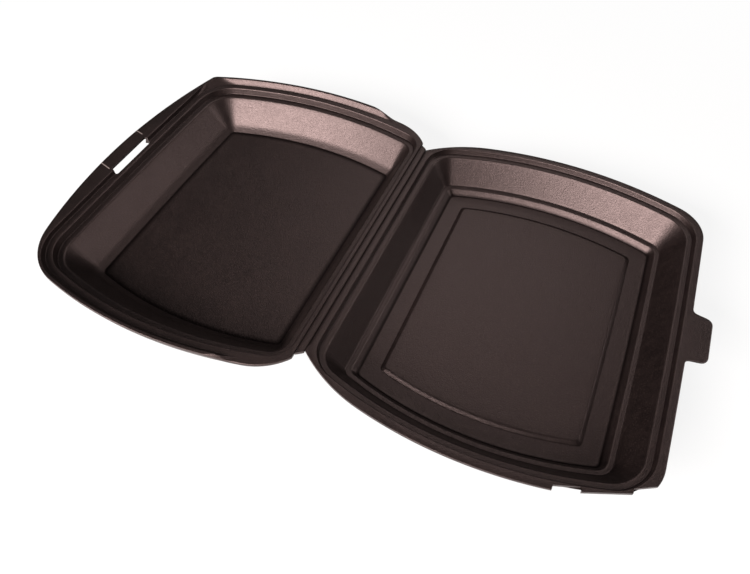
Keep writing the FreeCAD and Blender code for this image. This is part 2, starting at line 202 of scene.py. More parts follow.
def layFloor():
    # white paper that shows soft shadows near the container and is plain white further away
    look = floorLook
    half, glow = look["half"], look["glow"]
    mesh = bpy.data.meshes.new("floor")
    mesh.from_pydata([(-half, -half, 0), (half, -half, 0), (half, half, 0), (-half, half, 0)], [], [(0, 1, 2, 3)])
    floor = bpy.data.objects.new("floor", mesh)
    bpy.context.scene.collection.objects.link(floor)
    material = bpy.data.materials.new("paleFloor")
    tree = clearedTree(material)
    paper = tree.node("ShaderNodeBsdfDiffuse", None, {"Color": look["paper"]})
    white = tree.node("ShaderNodeEmission", None, {"Color": (1, 1, 1, 1), "Strength": 1.0})
    place = tree.node("ShaderNodeTexCoord").outputs["Object"]
    away = tree.wire("ShaderNodeVectorMath", {"operation": "LENGTH"}, {0: place}, output="Value")
    share = seenStraight(tree) * (away.ramp(look["fadeFrom"], look["fadeTo"]) * (1 - glow) + glow)
    mixed = tree.node("ShaderNodeMixShader", None, {0: share, 1: paper.outputs[0], 2: white.outputs[0]})
    tree.node("ShaderNodeOutputMaterial", None, {"Surface": mixed.outputs[0]})
    mesh.materials.append(material)


foamLook = {
    "dark": (8, 5, 5),
    "light": (20, 14, 13),
    "speck": (44, 35, 32),
    # colour of the painted shade in inner corners and in the hinge's creases
    "paintedShade": (9, 6, 6),
    # colour of the painted highlight along the flange's creases
    "creaseHighlight": (150, 136, 132),
    "sheen": (1.0, 0.74, 0.71),
    "leastRoughness": 0.26,
    "creaseRoughness": 0.85,
    "grain": 900.0,
    "grainDepth": 0.0003,
    "clouds": 38.0,
    "streaks": 260.0,
    "streakTurn": (0.0, 0.12, 0.0),
    "streakStretch": (1.0, 1.0, 0.06),
    "lineWidth": 0.0005,
}


def creaseMaterial():
    # painted shade for the hinge's creases: dark, dull foam for the webs that fill them
    material = bpy.data.materials.new("creaseShadeFoam")
    tree = clearedTree(material)
    place = tree.node("ShaderNodeTexCoord").outputs["Object"]
    cells = noise(tree, place, foamLook["grain"], 2.0)
    skin = tree.node("ShaderNodeBsdfPrincipled", None, {
        "Base Color": mixColour(tree, cells, foamLook["paintedShade"], foamLook["dark"]),
        "Roughness": cells * 0.1 + foamLook["creaseRoughness"],
        "Specular IOR Level": 0.1,
    })
    tree.node("ShaderNodeOutputMaterial", None, {"Surface": skin.outputs[0]})
    return material


def lineMask(tree, place, start, end, width):
    # 1 along a straight line seen from above, fading out over its width
    start, end = Vector((*start, 0)), Vector((*end, 0))
    along = end - start
    flat = tree.node("ShaderNodeVectorMath", {"operation": "MULTIPLY"}, {0: place, 1: (1, 1, 0)}).outputs[0]
    offset = tree.node("ShaderNodeVectorMath", {"operation": "SUBTRACT"}, {0: flat, 1: start}).outputs[0]
    share = tree.wire("ShaderNodeVectorMath", {"operation": "DOT_PRODUCT"},
                      {0: offset, 1: along / along.length_squared}, output="Value")
    share = share.math("MAXIMUM", 0.0).math("MINIMUM", 1.0)
    foot = tree.node("ShaderNodeVectorMath", {"operation": "SCALE"}, {0: along, "Scale": share}).outputs[0]
    away = tree.wire("ShaderNodeVectorMath", {"operation": "DISTANCE"}, {0: offset, 1: foot}, output="Value")
    return 1.0 - away.ramp(width * 0.3, width)


def foamMaterial(name, lines=()):
    # dark foam with a satin sheen; each line is a painted highlight along a crease where the sheet is bent
    look = foamLook
    material = bpy.data.materials.new(name)
    tree = clearedTree(material)
    place = tree.node("ShaderNodeTexCoord").outputs["Object"]
    cells = noise(tree, place, look["grain"], 4.0, 0.75)
    clouds = noise(tree, place, look["clouds"], 4.0, 0.55)
    stretched = tree.node("ShaderNodeMapping", None, {
        "Vector": place, "Rotation": look["streakTurn"], "Scale": look["streakStretch"]}).outputs[0]
    streaks = noise(tree, stretched, look["streaks"], 2.0)
    tone = clouds * 0.3 + cells * 0.4 + streaks * 0.3
    colour = mixColour(tree, tone.ramp(0.35, 0.65), look["dark"], look["light"])
    specks = noise(tree, place, look["grain"] * 1.3, 1.0)
    colour = mixColour(tree, specks.ramp(0.60, 0.74) * 0.7, colour, look["speck"])
    # each line gets a painted highlight along its crease
    for start, end in lines:
        mask = lineMask(tree, place, start, end, look["lineWidth"])
        colour = mixColour(tree, mask * 0.7, colour, look["creaseHighlight"])
    relief = cells * 0.7 + streaks * 0.3
    bump = tree.wire("ShaderNodeBump", None, {"Strength": 0.8, "Distance": look["grainDepth"], "Height": relief})
    skin = tree.node("ShaderNodeBsdfPrincipled", None, {
        "Base Color": colour,
        "Roughness": clouds * 0.08 + streaks * 0.08 + cells * 0.12 + look["leastRoughness"],
        "Normal": bump,
        "IOR": 1.59,
        "Specular Tint": (*look["sheen"], 1),
    })
    # painted shade: the shade attribute mixes inner corners and the edges along the hinge towards a flat dark
    # surface
    paintedShade = tree.wire("ShaderNodeAttribute", {"attribute_name": "shade"}, output="Fac").ramp(0.5, 1.0) * 0.9
    shadeSurface = tree.node("ShaderNodeBsdfDiffuse", None, {"Color": (*linear(*look["paintedShade"]), 1)})
    mixed = tree.node("ShaderNodeMixShader", None, {0: paintedShade, 1: skin.outputs[0], 2: shadeSurface.outputs[0]})
    tree.node("ShaderNodeOutputMaterial", None, {"Surface": mixed.outputs[0]})
    return material


# the whole sheet: wallSpread is how far the underside of a wall sits outside its top, hingeLine is from the
# middle of the hinge to the middle of a crease, and the two corners are those of an inner outline
sheet = {
    "thickness": 2.0, "wallSpread": 1.2, "hingeLine": 2.3, "backCorner": 25.0, "tightCorner": 3.5,
    "driftScale": 22.0, "driftPlace": 3.0, "sharpAngle": 38.0,
}
ringCounts = {"hinge": 64, "hingeCorner": 14, "side": 84, "frontCorner": 16}  # points in the parts of an outline
frontFirst = sum(ringCounts.values())  # first point of the front arc


class Rim:
    # family of rounded outlines with bowed sides, each a given inset inside the widest one
    def __init__(self, reach, width, sideBow, frontBow, bulge, corner):
        self.reach = reach
        self.halfWidth = width / 2
        self.sideBow = sideBow
        self.frontBow = frontBow
        self.bulge = bulge
        self.corner = corner

    def corners(self, inset):
        tight = sheet["tightCorner"]
        front = max(self.corner - inset, tight)
        return max(sheet["backCorner"] - inset, tight), front, front


def meet(centre, radius, otherCentre, otherRadius):
    # the crossing of two circles that lies furthest along X
    span = np.subtract(otherCentre, centre)
    length = math.hypot(*span)
    along = (radius**2 - otherRadius**2 + length**2) / (2 * length)
    across = math.sqrt(radius**2 - along**2)
    crossings = []
    for turned in (across, -across):
        crossings.append((centre[0] + (along * span[0] + turned * span[1]) / length,
                          centre[1] + (along * span[1] - turned * span[0]) / length))
    return max(crossings)


def arcPoints(centre, radius, start, end, count):
    # points from start up to, but without, end
    turns = [math.atan2(y - centre[1], x - centre[0]) for x, y in (start, end)]
    if turns[1] < turns[0]:
        turns[1] += 2 * math.pi
    angles = turns[0] + (turns[1] - turns[0]) * spread(count)
    return np.stack([centre[0] + radius * np.cos(angles), centre[1] + radius * np.sin(angles)], 1)


def pointOn(centre, radius, towards):
    away = math.hypot(towards[0] - centre[0], towards[1] - centre[1])
    return tuple(centre[axis] + (towards[axis] - centre[axis]) * radius / away for axis in (0, 1))


def spread(count):
    return np.arange(count) / count


def outline(rim, inset, hingeAt, corners, frontStops, hingeWidth=None):
    # points once round, counterclockwise from the left end of the hinge line
    hingeCorner, rightCorner, leftCorner = corners
    sideRadius = rim.sideBow - inset
    sideOffset = rim.sideBow - rim.halfWidth
    frontRadius = rim.frontBow - inset
    rightSide = (rim.bulge, sideOffset)
    leftSide = (rim.bulge, -sideOffset)
    front = (rim.reach - rim.frontBow, 0.0)
    fromSide = sideRadius - hingeCorner
    if hingeWidth is None:
        hingeX = hingeAt + hingeCorner
        hingeY = math.sqrt(fromSide**2 - (hingeX - rim.bulge) ** 2) - sideOffset
        hingeEnd = hingeY
    else:
        hingeEnd = hingeWidth / 2
        hingeX, hingeY = meet(leftSide, fromSide, (hingeAt, hingeEnd), hingeCorner)
    rightHinge, leftHinge = (hingeX, -hingeY), (hingeX, hingeY)
    rightFront = meet(rightSide, sideRadius - rightCorner, front, frontRadius - rightCorner)
    leftFront = meet(leftSide, sideRadius - leftCorner, front, frontRadius - leftCorner)
    rightStart, leftStart = (hingeAt, -hingeEnd), (hingeAt, hingeEnd)
    rightBack = pointOn(rightSide, sideRadius, rightHinge)
    rightEnd = pointOn(rightSide, sideRadius, rightFront)
    frontRight = pointOn(front, frontRadius, rightFront)
    frontLeft = pointOn(front, frontRadius, leftFront)
    leftEnd = pointOn(leftSide, sideRadius, leftFront)
    leftBack = pointOn(leftSide, sideRadius, leftHinge)
    along = spread(ringCounts["hinge"])[:, None]
    line = np.array(leftStart) * (1 - along) + np.array(rightStart) * along
    # the front keeps its stops in the middle and stretches them towards the corners
    steady = 50.0
    stops = np.asarray(frontStops, float)
    ends = np.where(stops > 0, frontLeft[1], -frontRight[1])
    outer = steady + (np.abs(stops) - steady) * (ends - steady) / (np.abs(stops).max() - steady)
    y = np.sign(stops) * np.where(np.abs(stops) > steady, outer, np.abs(stops))
    frontArc = np.stack([front[0] + np.sqrt(frontRadius**2 - y**2), y], 1)
    hingeCount, sideCount, frontCount = ringCounts["hingeCorner"], ringCounts["side"], ringCounts["frontCorner"]
    return np.concatenate([
        line,
        arcPoints(rightHinge, hingeCorner, rightStart, rightBack, hingeCount),
        arcPoints(rightSide, sideRadius, rightBack, rightEnd, sideCount),
        arcPoints(rightFront, rightCorner, rightEnd, frontRight, frontCount),
        frontArc,
        arcPoints(leftFront, leftCorner, frontLeft, leftEnd, frontCount),
        arcPoints(leftSide, sideRadius, leftEnd, leftBack, sideCount),
        arcPoints(leftHinge, hingeCorner, leftBack, leftStart, hingeCount),
    ])


def alongHinge(plan):
    # 1 for the points of an outline that lie along the hinge, 0 for the others
    return np.where(np.arange(len(plan)) < ringCounts["hinge"], 1.0, 0.0)


mostBend = 0.48  # a bend takes up at most this share of the way to the next corner


def bendPoint(start, corner, end, share):
    # a point on the curve that rounds a corner off
    return (1 - share) ** 2 * start + 2 * share * (1 - share) * corner + share**2 * end


def roundedPath(points, radii, gap):
    # a path with rounded corners, as evenly spaced points
    points = [np.array(p, float) for p in points]
    dense = [points[0]]
    for index in range(1, len(points) - 1):
        before, here, after = points[index - 1:index + 2]
        toBefore = (before - here) / np.linalg.norm(before - here)
        toAfter = (after - here) / np.linalg.norm(after - here)
        half = math.acos(np.clip(toBefore @ toAfter, -1, 1)) / 2
        room = min(mostBend * np.linalg.norm(other - here) for other in (before, after))
        cut = min(radii[index - 1] / math.tan(half), room)
        for share in np.linspace(0, 1, 9):
            dense.append(bendPoint(here + toBefore * cut, here, here + toAfter * cut, share))
    dense.append(points[-1])
    dense = np.array(dense)
    lengths = np.concatenate([[0], np.cumsum(np.linalg.norm(np.diff(dense, axis=0), axis=1))])
    places = np.linspace(0, lengths[-1], int(round(lengths[-1] / gap)) + 1)
    return np.stack([np.interp(places, lengths, dense[:, axis]) for axis in (0, 1)], 1), places / lengths[-1]


class Station:
    # one line of the pressed sheet: its plan points and how far each press has moved it
    def __init__(self, plan, presses, bend=0.0, steps=1):
        self.plan = plan
        self.presses = presses
        self.bend = bend
        self.steps = steps


def bendShare(places, index, other, bend):
    # share of the way from one station to another that a bend takes up, point by point
    length = np.maximum(np.linalg.norm(places[other] - places[index], axis=1), 1e-6)
    return np.minimum(bend / length, mostBend)[:, None]


def sheetRings(stations, drops):
    # the stations with their bends rounded off, as rings of plan points and press amounts
    # shade is no press: it carries the painted shade of inner corners and hinge edges
    names = [*drops, "shade"]
    count = len(stations[0].plan)
    rows = []
    for station in stations:
        amounts = [np.broadcast_to(station.presses.get(name, 0.0), (count,)) for name in names]
        rows.append(np.column_stack([station.plan, *amounts]))
    rows = np.array(rows)
    heights = sum(rows[..., 2 + index] * drops[name] for index, name in enumerate(drops))
    places = np.concatenate([rows[..., :2], heights[..., None]], axis=2)
    rings = []
    last = len(stations) - 1
    for index, station in enumerate(stations):
        here = rows[index]
        if station.bend and 0 < index < last:
            start, end = [here + (rows[other] - here) * bendShare(places, index, other, station.bend)
                          for other in (index - 1, index + 1)]
            for share in (0.0, 0.2, 0.4, 0.6, 0.8, 1.0):
                rings.append(bendPoint(start, here, end, share))
        else:
            rings.append(here)
        if index < last and station.steps > 1:
            leaving, there = rings[-1], rows[index + 1]
            nextBend = stations[index + 1].bend
            if nextBend and index + 1 < last:
                there = there + (here - there) * bendShare(places, index + 1, index, nextBend)
            for step in range(1, station.steps):
                rings.append(leaving + (there - leaving) * step / station.steps)
    return np.array(rings), names


def blankMesh(name, stations, drops, turned):
    # flat closed blank, still unpressed, with each press amount kept as an attribute
    rings, names = sheetRings(stations, drops)
    count = rings.shape[1]
    middle = rings[0].mean(axis=0)
    underMiddle = rings[-1].mean(axis=0)
    shrinks = (0.04, 0.12, 0.22, 0.34, 0.46, 0.58, 0.7, 0.8, 0.89, 0.96)  # rings across the flat middle
    top = [middle + (rings[0] - middle) * share for share in shrinks]
    under = [underMiddle + (rings[-1] - underMiddle) * share for share in reversed(shrinks)]
    rings = np.concatenate([top, rings, under])
    points = np.concatenate([rings.reshape(-1, rings.shape[2]), middle[None], underMiddle[None]])
    quads = np.arange((len(rings) - 1) * count).reshape(-1, count)
    after = np.roll(quads, -1, axis=1)
    faces = np.stack([quads, quads + count, after + count, after], 2).reshape(-1, 4).tolist()
    firstRing = np.arange(count)
    lastRing = (len(rings) - 1) * count + firstRing
    topPoint, underPoint = len(points) - 2, len(points) - 1
    faces += [(topPoint, a, b) for a, b in zip(firstRing.tolist(), np.roll(firstRing, -1).tolist())]
    faces += [(underPoint, b, a) for a, b in zip(lastRing.tolist(), np.roll(lastRing, -1).tolist())]
    side = -1.0 if turned else 1.0
    flat = np.zeros((len(points), 3))
    flat[:, 0] = (hingeShift + side * points[:, 0]) * mm
    flat[:, 1] = side * points[:, 1] * mm
    flat[:, 2] = rimHeight * mm
    mesh = bpy.data.meshes.new(name)
    mesh.from_pydata(flat.tolist(), [], faces)
    for index, press in enumerate(names):
        attribute = mesh.attributes.new(press, "FLOAT", "POINT")
        attribute.data.foreach_set("value", points[:, 2 + index].astype(np.float32))
    return mesh


def newGroup(name, inputs):
    # a geometry group that takes and gives a shape, and the identifier of each further input
    group = bpy.data.node_groups.new(name, "GeometryNodeTree")
    face = group.interface
    face.new_socket(name="Geometry", in_out="INPUT", socket_type="NodeSocketGeometry")
    identifiers = {label: face.new_socket(name=label, in_out="INPUT", socket_type=kind).identifier
                   for label, kind in inputs.items()}
    face.new_socket(name="Geometry", in_out="OUTPUT", socket_type="NodeSocketGeometry")
    return group, identifiers


def endGroup(tree, shape, material):
    # shades the shape smooth and dresses it
    smooth = tree.node("GeometryNodeSetShadeSmooth", None, {"Geometry": shape})
    real = tree.node("GeometryNodeRealizeInstances", None, {"Geometry": smooth.outputs[0]})
    dressed = tree.node("GeometryNodeSetMaterial", None, {"Geometry": real.outputs[0], "Material": material})
    tree.node("NodeGroupOutput", None, {"Geometry": dressed.outputs[0]})


def pressTree(name, drops, material):
    # presses the blank: each named input is the height of one step, worked by its own attribute
    heights = (*drops, "waviness", "lowest", "highest")
    group, inputs = newGroup(name, {"cutter": "NodeSocketObject", **dict.fromkeys(heights, "NodeSocketFloat")})
    tree = Tree(group)
    entry = tree.node("NodeGroupInput")
    place = tree.node("GeometryNodeInputPosition").outputs[0]
    height = 0.0
    for press in drops:
        amount = tree.wire("GeometryNodeInputNamedAttribute", {"data_type": "FLOAT"}, {"Name": press})
        height = amount * entry.outputs[press] + height
    # the sheet never lies quite flat: a slow, even drift up and down
    drift = tree.wire("ShaderNodeTexNoise", {"noise_dimensions": "4D"}, {
        "Vector": place, "W": sheet["driftPlace"], "Scale": sheet["driftScale"], "Detail": 1.0})
    height = (drift - 0.5) * entry.outputs["waviness"] + height
    height = height.math("MAXIMUM", entry.outputs["lowest"]).math("MINIMUM", entry.outputs["highest"])
    lift = tree.wire("ShaderNodeCombineXYZ", None, {"Z": height})
    pressed = tree.node("GeometryNodeSetPosition", None, {"Geometry": entry.outputs["Geometry"], "Offset": lift})
    cuts = tree.node("GeometryNodeObjectInfo", None, {"Object": entry.outputs["cutter"]})
    cut = tree.node("GeometryNodeMeshBoolean", {"operation": "DIFFERENCE", "solver": "EXACT"}, {
        "Mesh 1": pressed.outputs[0], "Mesh 2": cuts.outputs["Geometry"]})
    endGroup(tree, cut.outputs[0], material)
    return group, inputs


def runTree(name, mesh, group, values, material):
    # the modifier's result as a plain mesh
    piece = bpy.data.objects.new(name, mesh)
    bpy.context.scene.collection.objects.link(piece)
    modifier = piece.modifiers.new("shape", "NODES")
    modifier.node_group = group
    for identifier, value in values.items():
        modifier[identifier] = value
    graph = bpy.context.evaluated_depsgraph_get()
    result = bpy.data.meshes.new_from_object(piece.evaluated_get(graph))
    piece.modifiers.clear()
    piece.data = result
    result.name = name
    result.materials.clear()
    result.materials.append(material)
    result.polygons.foreach_set("material_index", [0] * len(result.polygons))
    result.set_sharp_from_angle(angle=math.radians(sheet["sharpAngle"]))
    return piece


def prism(name, plan, low, high, turned, lowPlan=None):
    # an upright cutter, or a leaning one where the lower plan differs
    side = -1.0 if turned else 1.0
    count = len(plan)
    points = [((hingeShift + side * x) * mm, side * y * mm, (rimHeight + height) * mm)
              for height, level in ((low, lowPlan or plan), (high, plan)) for x, y in level]
    faces = [tuple(reversed(range(count))), tuple(range(count, 2 * count))]
    for index in range(count):
        after = (index + 1) % count
        faces.append((index, after, count + after, count + index))
    mesh = bpy.data.meshes.new(name)
    mesh.from_pydata(points, [], faces)
    cutter = bpy.data.objects.new(name, mesh)
    bpy.context.scene.collection.objects.link(cutter)
    return cutter


def finishHalf(name, stations, look, cutter, highest, material, turned):
    # presses and cuts one half; the blank's height is the highest it may reach above the rim, mm
    drops = look["drops"]
    mesh = blankMesh(name, stations, drops, turned)
    group, inputs = pressTree(name + "Press", drops, material)
    values = {inputs[press]: drop * mm for press, drop in drops.items()}
    values[inputs["waviness"]] = look["waviness"] * mm
    values[inputs["lowest"]] = -rimHeight * mm
    values[inputs["highest"]] = highest * mm
    values[inputs["cutter"]] = cutter
    piece = runTree(name + "Sheet", mesh, group, values, material)
    bpy.data.objects.remove(cutter)
    for press in drops:
        if press in piece.data.attributes:
            piece.data.attributes.remove(piece.data.attributes[press])
    return piece


trayLook = {
    "lipWidth": 4.6, "riserRun": 1.2, "stepWidth": 3.5, "wallRun": 10.7, "ledgeWidth": 3.0, "lowerWallRun": 3.5,
    "borderWidth": 11.0, "panelRun": 1.3,
    "drops": {"riser": -3.5, "wall": -18.0, "lowerWall": -4.5, "panel": 1.5, "under": -sheet["thickness"]},
    "tab": {"length": 11.6, "tipRight": -11.5, "tipLeft": 19.5, "rootRight": -13.2, "rootLeft": 21.2,
            "bends": (4.0, 4.5, 5.0, 4.0), "gap": 0.9, "zoneRight": -20.0, "zoneLeft": 28.0},
    "frontHalf": 84, "rightStops": 34, "leftStops": 32,
    "hingeCorner": 100.0, "hingeWidth": 188.0, "lipCorner": 26.0,
    "edgeBend": 0.7, "waviness": 0.25,
    # a gap in the lip, a shorter lug beyond it, and a corner cut back
    "cut": [(148.5, -130.0), (203.0, -130.0), (203.0, -89.0), (184.9, -99.0), (184.9, -101.6), (161.8, -111.0),
            (161.8, -108.3), (148.5, -113.0)],
    "cutLow": -2.3, "cutHigh": 1.0,
}
trayRim = Rim(198.4, 240.6, 255.0, 4900.0, 99.5, 30.0)


def makeTray(material):
    look, tab = trayLook, trayLook["tab"]
    right, left = tab["zoneRight"], tab["zoneLeft"]  # the part of the front that the tab's root takes up
    reach = trayRim.reach
    tip = reach + tab["length"]
    corners = [(reach, right), (reach, tab["rootRight"]), (tip, tab["tipRight"]), (tip, tab["tipLeft"]),
               (reach, tab["rootLeft"]), (reach, left)]
    path, shares = roundedPath(corners, tab["bends"], tab["gap"])
    inner = np.interp(shares, (0, 0.06, 0.22, 0.78, 0.94, 1),
                      (right, right + 4, tab["tipRight"] + 3, tab["tipLeft"] - 3, left - 4, left))
    frontStops = np.concatenate([np.linspace(-look["frontHalf"], right, look["rightStops"], endpoint=False), inner,
                                 np.linspace(left, look["frontHalf"], look["leftStops"])[1:]])

    def ring(inset):
        return outline(trayRim, inset, inset + sheet["hingeLine"], trayRim.corners(inset), frontStops)

    lipCorners = (look["hingeCorner"], look["lipCorner"], look["lipCorner"])
    lip = outline(trayRim, 0.0, sheet["hingeLine"] + 0.1, lipCorners, frontStops, look["hingeWidth"])
    first = frontFirst + look["rightStops"]
    lip[first:first + len(path)] = path
    shift = sheet["wallSpread"]
    riserTop = look["lipWidth"]
    riserFoot = riserTop + look["riserRun"]
    wallTop = riserFoot + look["stepWidth"]
    wallFoot = wallTop + look["wallRun"]
    lowerTop = wallFoot + look["ledgeWidth"]
    lowerFoot = lowerTop + look["lowerWallRun"]
    panelFoot = lowerFoot + look["borderWidth"]
    panelTop = panelFoot + look["panelRun"]
    stepped = {"riser": 1.0}
    ledge = {"riser": 1.0, "wall": 1.0}
    floor = {"riser": 1.0, "wall": 1.0, "lowerWall": 1.0}
    # shade: where painted shade darkens the inner corners and the lip's edge along the hinge
    top = [
        Station(ring(panelTop + 5.0), {**floor, "panel": 1.0}, 0.0),
        Station(ring(panelTop + 0.9), {**floor, "panel": 1.0}, 1.0),
        Station(ring(panelFoot), {**floor, "shade": 0.75}, 0.3),
        Station(ring(panelFoot - 1.5), floor, 0.0, 5),
        Station(ring(lowerFoot + 2.5), floor, 0.0),
        Station(ring(lowerFoot), {**floor, "shade": 1.0}, 0.8, 2),
        Station(ring(lowerTop), ledge, 0.8),
        Station(ring(wallFoot), {**ledge, "shade": 0.8}, 0.9),
        Station(ring(wallFoot - 1.2), {**stepped, "wall": 1 - 1.2 / look["wallRun"]}, 0.0, 8),
        Station(ring(wallTop), stepped, 1.0),
        Station(ring(riserFoot), {**stepped, "shade": 0.8}, 0.7),
        Station(ring(riserTop), {}, 0.8, 2),
        Station(lip, {"shade": alongHinge(lip)}, look["edgeBend"]),
    ]
    under = [
        Station(lip, {"under": 1.0}, look["edgeBend"], 2),
        Station(ring(riserTop - shift), {"under": 1.0}, 0.5),
        Station(ring(riserFoot - shift), {**stepped, "under": 1.0}, 0.8),
        Station(ring(wallTop - shift), {**stepped, "under": 1.0}, 0.8, 6),
        Station(ring(wallFoot - shift), {**ledge, "under": 1.0}, 1.2),
        Station(ring(lowerTop - shift), {**ledge, "under": 1.0}, 1.0),
        Station(ring(lowerFoot - shift), {**floor, "under": 1.0}, 1.2, 5),
        Station(ring(panelFoot + shift), {**floor, "under": 1.0}, 0.5),
        Station(ring(panelTop + shift), {**floor, "panel": 1.0, "under": 1.0}, 0.5),
        Station(ring(panelTop + 5.0), {**floor, "panel": 1.0, "under": 1.0}, 0.0),
    ]
    cutter = prism("trayCuts", look["cut"], look["cutLow"], look["cutHigh"], False)
    return finishHalf("tray", [*top, *under], look, cutter, 0.0, material, False)


lidLook = {
    "lean": 1.5, "skirtEdge": 2.2, "skirtRun": 2.6, "flatWidth": 4.4, "hingeMargin": 3.0,
    "riserRun": 1.2, "stepWidth": 4.1, "wallRun": 13.6, "footRun": 4.4, "wallTrim": 3.9, "footTrim": 5.0,
    "drops": {"skirt": 3.7, "riser": -4.8, "wall": -17.6, "foot": -3.6, "under": -sheet["thickness"]},
    "flangeReach": 202.8, "flangeBow": 355.0, "rightFlangeCorner": 4.0, "leftFlangeCorner": 44.0,
    "mouthReach": 191.5, "rightMouthCorner": 14.0, "underReach": 191.3, "underCorners": (20.0, 38.0),
    "plateHingeCorner": 40.0, "plateHingeWidth": 202.0,
    "skirtEnd": 31.0, "skirtRamp": 17.0,
    # stops along the front, closer together beside the slot's ends: from, to, how many
    "stops": ((-80, -24, 26), (-24, -16, 14), (-16, 15, 18), (15, 23, 14), (23, 80, 27)),
    "slot": {"offset": 0.4, "lean": 1.7, "width": 3.6, "right": -20.0, "left": 18.5, "corner": 1.5, "gap": 1.2,
             "low": -6.0, "high": 7.0},
    # painted highlights along the creases across the flange, in the frame
    "flangeCreaseHighlights": (((-0.2060, 0.0237), (-0.1987, 0.0218)), ((-0.2054, -0.0162), (-0.1963, -0.0188))),
    "edgeBend": 0.7, "waviness": 0.3,
}
lidRim = Rim(193.8, 248.4, 284.0, 3600.0, 87.0, 36.0)


def lidRimTo(reach, frontBow=lidRim.frontBow):
    # the lid's outline with its front moved
    return Rim(reach, 2 * lidRim.halfWidth, lidRim.sideBow, frontBow, lidRim.bulge, lidRim.corner)


def makeLid(material):
    look = lidLook
    *others, last = look["stops"]
    frontStops = np.concatenate([*(np.linspace(*part, endpoint=False) for part in others), np.linspace(*last)])
    flatOutside = look["skirtEdge"] + look["skirtRun"]
    riserTop = flatOutside + look["flatWidth"]
    riserFoot = riserTop + look["riserRun"]
    wallTop = riserFoot + look["stepWidth"]
    footTop = wallTop + look["wallRun"]
    footEnd = footTop + look["footRun"]
    hingeLine = sheet["hingeLine"] + look["hingeMargin"] - riserTop

    def ring(inset, trim=0.0):
        return outline(lidRim, inset, inset + hingeLine - trim, lidRim.corners(inset), frontStops)

    edge = sheet["hingeLine"] + 0.1
    hingeCorner, hingeWidth = look["plateHingeCorner"], look["plateHingeWidth"]
    plateCorner = lidRim.corner - look["lean"]
    plate = outline(lidRim, look["lean"], edge, (hingeCorner, plateCorner, plateCorner), frontStops, hingeWidth)
    # share of the skirt's full height at each point: none beside the hinge, all of it past its ramp
    skirt = np.clip((plate[:, 0] - look["skirtEnd"]) / look["skirtRamp"], 0, 1)
    skirt = skirt * skirt * (3 - 2 * skirt)

    def skirted(plan, flatPlan):
        return flatPlan + (plan - flatPlan) * skirt[:, None]

    def inwards(plan, amount):
        middle = np.array([96.0, 0.0])
        return plan + (middle - plan) / np.linalg.norm(middle - plan, axis=1)[:, None] * amount

    skirtFoot = outline(lidRimTo(look["underReach"]), 0.3, edge, (hingeCorner, *look["underCorners"]), frontStops,
                        hingeWidth)
    flangeRim = lidRimTo(look["flangeReach"], look["flangeBow"])
    flangeCorners = (hingeCorner, look["rightFlangeCorner"], look["leftFlangeCorner"])
    flange = outline(flangeRim, 0.15, edge, flangeCorners, frontStops, hingeWidth)
    mouthRim = lidRimTo(look["mouthReach"])
    back, _, left = mouthRim.corners(look["skirtEdge"])
    mouthCorners = (back, look["rightMouthCorner"], left)
    mouthTop = outline(mouthRim, look["skirtEdge"], edge + 0.8, mouthCorners, frontStops)
    mouthFoot = outline(lidRim, flatOutside, edge + 1.5, lidRim.corners(flatOutside), frontStops)
    stepped = {"riser": 1.0}
    bent = {"riser": 1.0, "wall": 1.0}
    floor = {"riser": 1.0, "wall": 1.0, "foot": 1.0}
    shift = sheet["wallSpread"]
    wallTrim, footTrim = look["wallTrim"], look["footTrim"]
    thinned = np.maximum(1.0 - skirt * 0.6, 0.95 * skirt)
    # shade: where painted shade darkens the inner corners and the plate's edge along the hinge
    top = [
        Station(ring(footEnd + 9.0, footTrim), floor, 0.0, 2),
        Station(ring(footEnd, footTrim), {**floor, "shade": 1.0}, 0.5),
        Station(ring(footEnd - 1.2, footTrim), {**bent, "foot": 1 - 1.2 / look["footRun"]}, 0.0),
        Station(ring(footTop, wallTrim), bent, 2.0, 10),
        Station(ring(wallTop), stepped, 1.2),
        Station(ring(riserFoot), {**stepped, "shade": 0.8}, 0.7),
        Station(ring(riserTop), {}, 0.8),
        Station(mouthFoot, {"shade": 0.7 * skirt}, 0.6, 2),
        Station(skirted(mouthTop, inwards(plate, 1.2)), {"skirt": skirt}, 0.7, 2),
        Station(skirted(flange, plate), {"skirt": skirt, "shade": alongHinge(plate)}, look["edgeBend"]),
    ]
    under = [
        Station(skirted(flange, plate), {"skirt": skirt, "under": thinned}, look["edgeBend"], 2),
        Station(skirted(skirtFoot, plate), {"skirt": skirt, "under": thinned}, 0.3, 2),
        Station(plate, {"under": 1.0}, look["edgeBend"]),
        Station(ring(riserTop - shift), {"under": 1.0}, 0.6),
        Station(ring(riserFoot - shift), {**stepped, "under": 1.0}, 0.8),
        Station(ring(wallTop - shift), {**stepped, "under": 1.0}, 0.8, 6),
        Station(ring(footTop - shift, wallTrim), {**bent, "under": 1.0}, 1.4),
        Station(ring(footEnd - shift, footTrim), {**floor, "under": 1.0}, 1.4),
        Station(ring(footEnd + 3.0, footTrim), {**floor, "under": 1.0}, 0.0),
    ]
    slot = look["slot"]
    middle = lidRim.reach - flatOutside + slot["offset"]
    low, high = middle - slot["width"] / 2, middle + slot["width"] / 2
    corners = [(low, 0), (low, slot["right"]), (high, slot["right"]), (high, slot["left"]), (low, slot["left"]),
               (low, 0)]
    path, _ = roundedPath(corners, [slot["corner"]] * 4, slot["gap"])
    path = path[:-1].tolist()
    # the slot leans forwards, so that the table shows through all of it
    lowPath = [(x + slot["lean"] if x > middle else x, y) for x, y in path]
    cutter = prism("slotCut", path, slot["low"], slot["high"], True, lowPath)
    return finishHalf("lid", [*top, *under], look, cutter, look["drops"]["skirt"], material, True)


